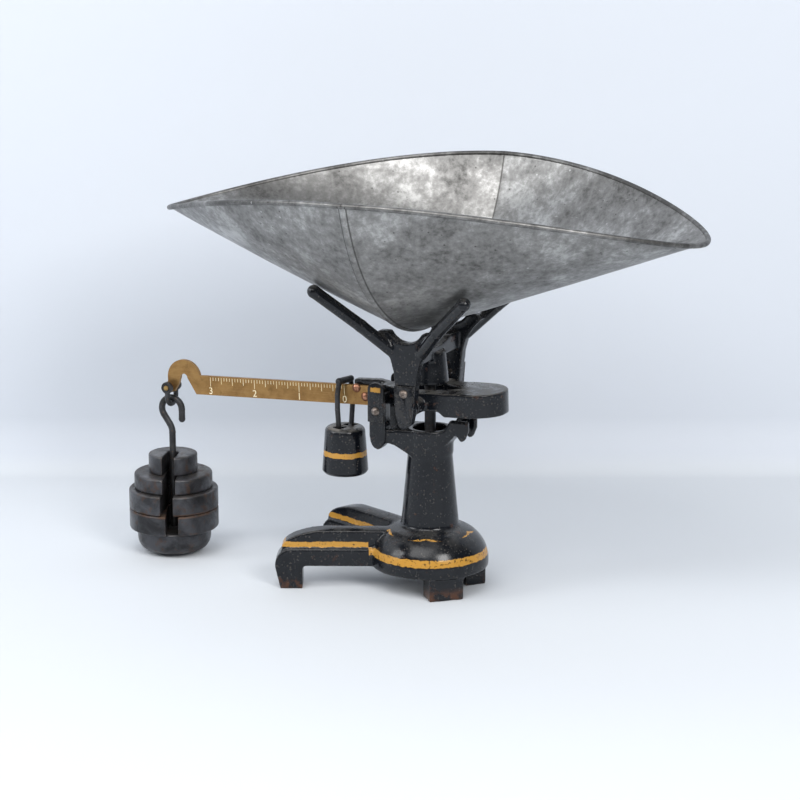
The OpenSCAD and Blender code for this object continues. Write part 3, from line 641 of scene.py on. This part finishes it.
# %% [markdown]
# ## Filed and turned pieces
# Cover plates, screws, rivets, pins, the carrier's stem, its check link, knives and their V blocks keep
# crisp flats. Only their corners are broken, by the given width in millimetres.

# %% Filed pieces
FILED = [
    ("near_fulcrum_cover", 0.5, cover_iron),
    ("far_fulcrum_cover", 0.5, black_iron),
    ("near_load_cover", 0.5, black_iron),
    ("far_load_cover", 0.5, black_iron),
    ("fulcrum_cover_screws", 0.2, screw_steel),
    ("load_cover_screws", 0.2, screw_steel),
    ("beam_rivets", 0.3, copper),
    ("tip_pin", 0.4, pin_brass),
    ("base_check_pin", 0.2, steel),
    ("stem_check_pin", 0.2, steel),
    ("carrier_stem", 0.5, dark_iron),
    ("check_link", 0.4, dark_iron),
    ("fulcrum_knife", 0.12, steel),
    ("near_load_knife", 0.12, steel),
    ("far_load_knife", 0.12, steel),
    ("near_fulcrum_bearing", 0.3, steel),
    ("far_fulcrum_bearing", 0.3, steel),
    ("near_load_bearing", 0.3, steel),
    ("far_load_bearing", 0.3, steel),
]
for node, width, finish in FILED:
    make_piece(filed_copy(node, width * MM), "filed_" + node, [node], finish)

# %% [markdown]
# ## The brass bar
# The bar carries sixteen marks to the unit, longer at every fourth, and the figures 0 to 3 counted from
# where the poise starts. The marks are small boxes and the figures are text turned into mesh. Together they
# are one cutter that sinks a quarter of a millimetre into the near face.

# %% Engraved bar
ZERO = -35.5 * MM
UNIT = -38.5 * MM
BAR_TOP = 6 * MM
MARK_TOP = BAR_TOP - 0.9 * MM
MARK_LENGTH = {0: 7.2 * MM, 8: 5.6 * MM, 4: 5.0 * MM, 12: 5.0 * MM}
SHORT_MARK = 2.6 * MM
MARK_WIDTH = 0.5 * MM
NEAR_FACE = -1.5 * MM
CUT = 0.25 * MM
FIGURE = 5.6 * MM
FIGURE_SCALE = 1.35
FIGURE_GAP = 0.3 * MM
FATTER = 0.05 * MM
UNITS = 3
PARTS = 16
BAR_CORNER = 0.35 * MM


def mark_cutter():
    """Boxes for the marks, in the beam's own level frame."""
    bm = bmesh.new()
    for i in range(UNITS * PARTS + 1):
        x = ZERO + UNIT * i / PARTS
        length = MARK_LENGTH.get(i % PARTS, SHORT_MARK)
        place = Matrix.Translation((x, NEAR_FACE, MARK_TOP - length / 2)) @ Matrix.Diagonal(
            (MARK_WIDTH, 2 * CUT, length, 1))
        bmesh.ops.create_cube(bm, size=1, matrix=place)
    return bm


def figure_mesh(figure, x):
    """A figure as a mesh, standing on the near face under its mark."""
    text = bpy.data.curves.new("figure", "FONT")
    text.body = figure
    text.size = FIGURE * FIGURE_SCALE
    text.extrude = CUT
    text.offset = FATTER
    text.align_x = "CENTER"
    mesh = final_mesh(text)
    mesh.transform(Matrix.Translation((x, NEAR_FACE, MARK_TOP - MARK_LENGTH[0] - FIGURE - FIGURE_GAP))
                   @ Matrix.Rotation(math.radians(90), 4, "X"))
    return mesh


cutter = mark_cutter()
for unit in range(UNITS + 1):
    cutter.from_mesh(figure_mesh(str(unit), ZERO + UNIT * unit))
bmesh.ops.remove_doubles(cutter, verts=cutter.verts, dist=MERGE)
bmesh.ops.transform(cutter, matrix=beam_pose, verts=cutter.verts)
cutter_mesh = mesh_of(cutter, "engraver")
cutter_mesh.materials.append(mark_fill)
engraver = bpy.data.objects.new("engraver", cutter_mesh)
bpy.context.scene.collection.objects.link(engraver)
blank = mesh_of(filed_copy("beam_bar", BAR_CORNER), "blank")
blank.materials.append(brass)
engraved = final_mesh(blank, [
    ("BOOLEAN", {"operation": "DIFFERENCE", "object": engraver, "solver": "EXACT",
                 "material_mode": "TRANSFER"}),
])
bpy.data.objects.remove(engraver)
make_piece(engraved, "engraved_bar", ["beam_bar"], brass, sharp=math.radians(18))

# %% [markdown]
# ## The scoop
# Two bent sheets meet in a folded seam, and their edge is rolled over a wire. Each half starts as a flat grid
# that is bent over a formula: every cross-section is an arc, whose lowest point climbs towards the tip. A
# slow noise along the arc's radius gives the gentle dents of hand-made ware, and a solidify gives the sheet
# its thickness. The bead of the seam is one more narrow grid on each half, bent over the same arcs.

# %% Scoop's shape
rim_low, rim_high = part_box("scoop_rim")
RIM_R = 1.9 * MM
FOLD = 0.9 * MM
FOLD_HALF = 2.5 * MM
SHEET = 1.0 * MM
RIM_CURVE = 1.86
TAPER = 0.6
scoop_centre = (rim_low + rim_high) / 2
half_length = (rim_high.x - rim_low.x) / 2 - RIM_R
half_width = (rim_high.y - rim_low.y) / 2 - RIM_R
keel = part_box("scoop_left_half")[0].z + FOLD
rim_mid = rim_high.z - RIM_R
rim_tip = rim_low.z + RIM_R
seam_radius = (half_width ** 2 + (rim_mid - keel) ** 2) / (2 * (rim_mid - keel))


def section(x):
    """Radius, lowest height and half angle of the cross-section at x from the seam."""
    share = abs(x) / half_length
    low = keel + (rim_tip - keel) * share
    radius = seam_radius * (1 - TAPER * share ** 2)
    rim = rim_mid - (rim_mid - rim_tip) * share ** RIM_CURVE
    return radius, low, math.acos(max(-1, min(1, 1 - (rim - low) / radius)))


def scoop_point(x, across, rise=0.0):
    """A point on the outer face: x from the seam, across from -1 to 1 between the rims, and a rise out."""
    radius, low, half_angle = section(x)
    angle = across * half_angle
    reach = radius + rise
    return Vector((scoop_centre.x + x, reach * math.sin(angle), low + radius - reach * math.cos(angle)))


print("scoop:", round(2 * half_length / MM), "by", round(2 * half_width / MM), "mm, section radius",
      round(seam_radius / MM, 1), "mm")

# %% Scoop halves
ALONG = 96
ACROSS = 88
BEAD_ROWS = 8
SHEET_END = 0.998
DENT = 0.35 * MM
DENT_SIZE = 55 * MM
DENT_PLACE = 7 * MM
DENT_START = 8 * MM


def bent_grid(bm, rows, side, place):
    """A grid bent over place(share along, across) on one side of the seam, facing out. Returns its faces."""
    verts = bmesh.ops.create_grid(bm, x_segments=rows, y_segments=ACROSS, size=0.5)["verts"]
    faces = list(dict.fromkeys(f for v in verts for f in v.link_faces))
    for v in verts:
        v.co = place(v.co.x + 0.5, 2 * v.co.y)
    if side > 0:
        bmesh.ops.reverse_faces(bm, faces=faces)
    return faces


def scoop_half(side):
    """One half of the scoop with its half of the seam's bead, on the side -1 or 1 of the seam."""
    def sheet(share, across):
        x = half_length * SHEET_END * math.sin(share * math.pi / 2)
        dent = noise.noise(Vector((side * x, across * half_width, DENT_PLACE)) / DENT_SIZE) * DENT
        fade = min(1, x / DENT_START) * (1 - across ** 4)
        return scoop_point(side * x, across, -abs(dent) * fade)

    def bead(share, across):
        turn = share * math.pi / 2
        return scoop_point(side * FOLD_HALF * math.sin(turn), across, FOLD * math.cos(turn))

    bm = bmesh.new()
    faces = bent_grid(bm, ALONG, side, sheet)
    bm.normal_update()
    bmesh.ops.solidify(bm, geom=faces, thickness=SHEET)
    bent_grid(bm, BEAD_ROWS, side, bead)
    return bm


for side, hand in ((-1, "left"), (1, "right")):
    make_piece(scoop_half(side), f"scoop_{hand}_sheet", [f"scoop_{hand}_half"], tin)

# %% [markdown]
# ## The wired rim
# The edge of the sheet is rolled over a wire, so the rim is a round tube that follows the sheet's edge. A
# closed 3-D curve with a round bevel makes it, and the mesh of that curve is the piece.

# %% Wired rim
RIM_STEPS = 240


def rim_place(i):
    x = half_length * math.sin(math.tau * i / RIM_STEPS)
    return scoop_point(x, math.copysign(1, math.cos(math.tau * i / RIM_STEPS)))


line = bpy.data.curves.new("rim_line", "CURVE")
line.dimensions = "3D"
line.bevel_depth = RIM_R
line.bevel_resolution = 5
spline = line.splines.new("POLY")
spline.points.add(RIM_STEPS - 1)
for i, point in enumerate(spline.points):
    point.co = (*rim_place(i), 1)
spline.use_cyclic_u = True
make_piece(final_mesh(line), "rolled_rim", ["scoop_rim"], rim_tin)

# %% [markdown]
# ## Stage, light and camera
# Pale paper lies on the table, and a second sheet curves up behind the scale into a wall. Neither can be seen
# from its back. Three large soft lights stand in front, in a room that is darker in reflections than in its
# fill light, so that black lacquer stays black. The camera is almost two metres off with a long lens, to the
# right of the scale and above it.

# %% Stage
CAMERA = Vector((750.5, -1643.0, 573.9)) * MM
CAMERA_TURN = math.radians(24.62)
CAMERA_DIP = math.radians(13.44)
LENS = 111.5
WALL_GAP = 345 * MM
COVE = 45 * MM
COVE_ROWS = 20
STAGE_HALF = 4
TABLE_TONE = colour(0.655, 0.68, 0.71)
WALL_TONE = colour(0.61, 0.64, 0.69)
TONE_FADE = 16 * MM

paper, tree, shader = new_material("stage_paper")
connect(tree, shader, Base_Color=blend_colour(tree, ramp(tree, coordinate(tree, "Z"), 0, TONE_FADE),
                                              TABLE_TONE, WALL_TONE))
shader.inputs["Roughness"].default_value = 0.7
shader.inputs["Specular IOR Level"].default_value = 0.2
back = add(tree, "NewGeometry").outputs["Backfacing"]
clear = add(tree, "BsdfTransparent").outputs[0]
shown = add(tree, "MixShader", {0: back, 1: shader.outputs[0], 2: clear}).outputs[0]
tree.links.new(shown, tree.nodes["Material Output"].inputs["Surface"])


def stage_sheet(name, bm):
    mesh = mesh_of(bm, name)
    mesh.materials.append(paper)
    mesh.polygons.foreach_set("use_smooth", [True] * len(mesh.polygons))
    sheet = bpy.data.objects.new(name, mesh)
    bpy.context.scene.collection.objects.link(sheet)


table = bmesh.new()
bmesh.ops.create_grid(table, x_segments=1, y_segments=1, size=STAGE_HALF)
stage_sheet("table", table)
wall = bmesh.new()
bmesh.ops.create_grid(wall, x_segments=1, y_segments=COVE_ROWS + 1, size=STAGE_HALF)
for v in wall.verts:
    row = round((v.co.y / STAGE_HALF + 1) / 2 * (COVE_ROWS + 1))
    turn = min(row, COVE_ROWS) / COVE_ROWS * math.pi / 2
    v.co.y = WALL_GAP + COVE * (math.sin(turn) - 1)
    v.co.z = COVE * (1 - math.cos(turn)) if row <= COVE_ROWS else STAGE_HALF
bmesh.ops.rotate(wall, cent=(0, 0, 0), matrix=Matrix.Rotation(CAMERA_TURN, 3, "Z"), verts=wall.verts)
stage_sheet("wall", wall)
print("stage: wall", round(WALL_GAP / MM), "mm behind the origin")

# %% Lights, world and camera
FILL = 0.46
REFLECTED = 0.13
LIT = Vector((0, 0, 150)) * MM


def area_light(name, place, size, power, tone):
    """A square light of a size in metres and a power in watts, aimed at the middle of the scale."""
    data = bpy.data.lights.new(name, "AREA")
    data.shape = "SQUARE"
    data.size = size
    data.energy = power
    data.color = tone
    lamp = bpy.data.objects.new(name, data)
    lamp.location = place
    lamp.rotation_euler = (LIT - Vector(place)).to_track_quat("-Z", "Y").to_euler()
    bpy.context.scene.collection.objects.link(lamp)


area_light("key_right", (1.5, -1.1, 1.25), 0.8, 25, (1.0, 0.99, 0.98))
area_light("fill_left", (-1.5, -1.2, 1.1), 0.8, 15, (0.96, 0.98, 1.0))
area_light("top_front", (0.0, -1.1, 1.5), 1.2, 19, (1.0, 1.0, 1.0))

world = bpy.data.worlds.new("studio")
world.use_nodes = True
sky = world.node_tree
mirrored = add(sky, "LightPath").outputs["Is Glossy Ray"]
sky.links.new(ramp(sky, mirrored, 0, 1, FILL, REFLECTED), sky.nodes["Background"].inputs["Strength"])
sky.nodes["Background"].inputs["Color"].default_value = colour(0.86, 0.905, 0.955)
bpy.context.scene.world = world

lens = bpy.data.cameras.new("camera")
lens.lens = LENS
lens.sensor_width = 36
lens.clip_end = 20
camera = bpy.data.objects.new("camera", lens)
camera.location = CAMERA
camera.rotation_euler = (math.radians(90) - CAMERA_DIP, 0, CAMERA_TURN)
bpy.context.scene.collection.objects.link(camera)
bpy.context.scene.camera = camera
bpy.context.scene.view_settings.view_transform = "Standard"
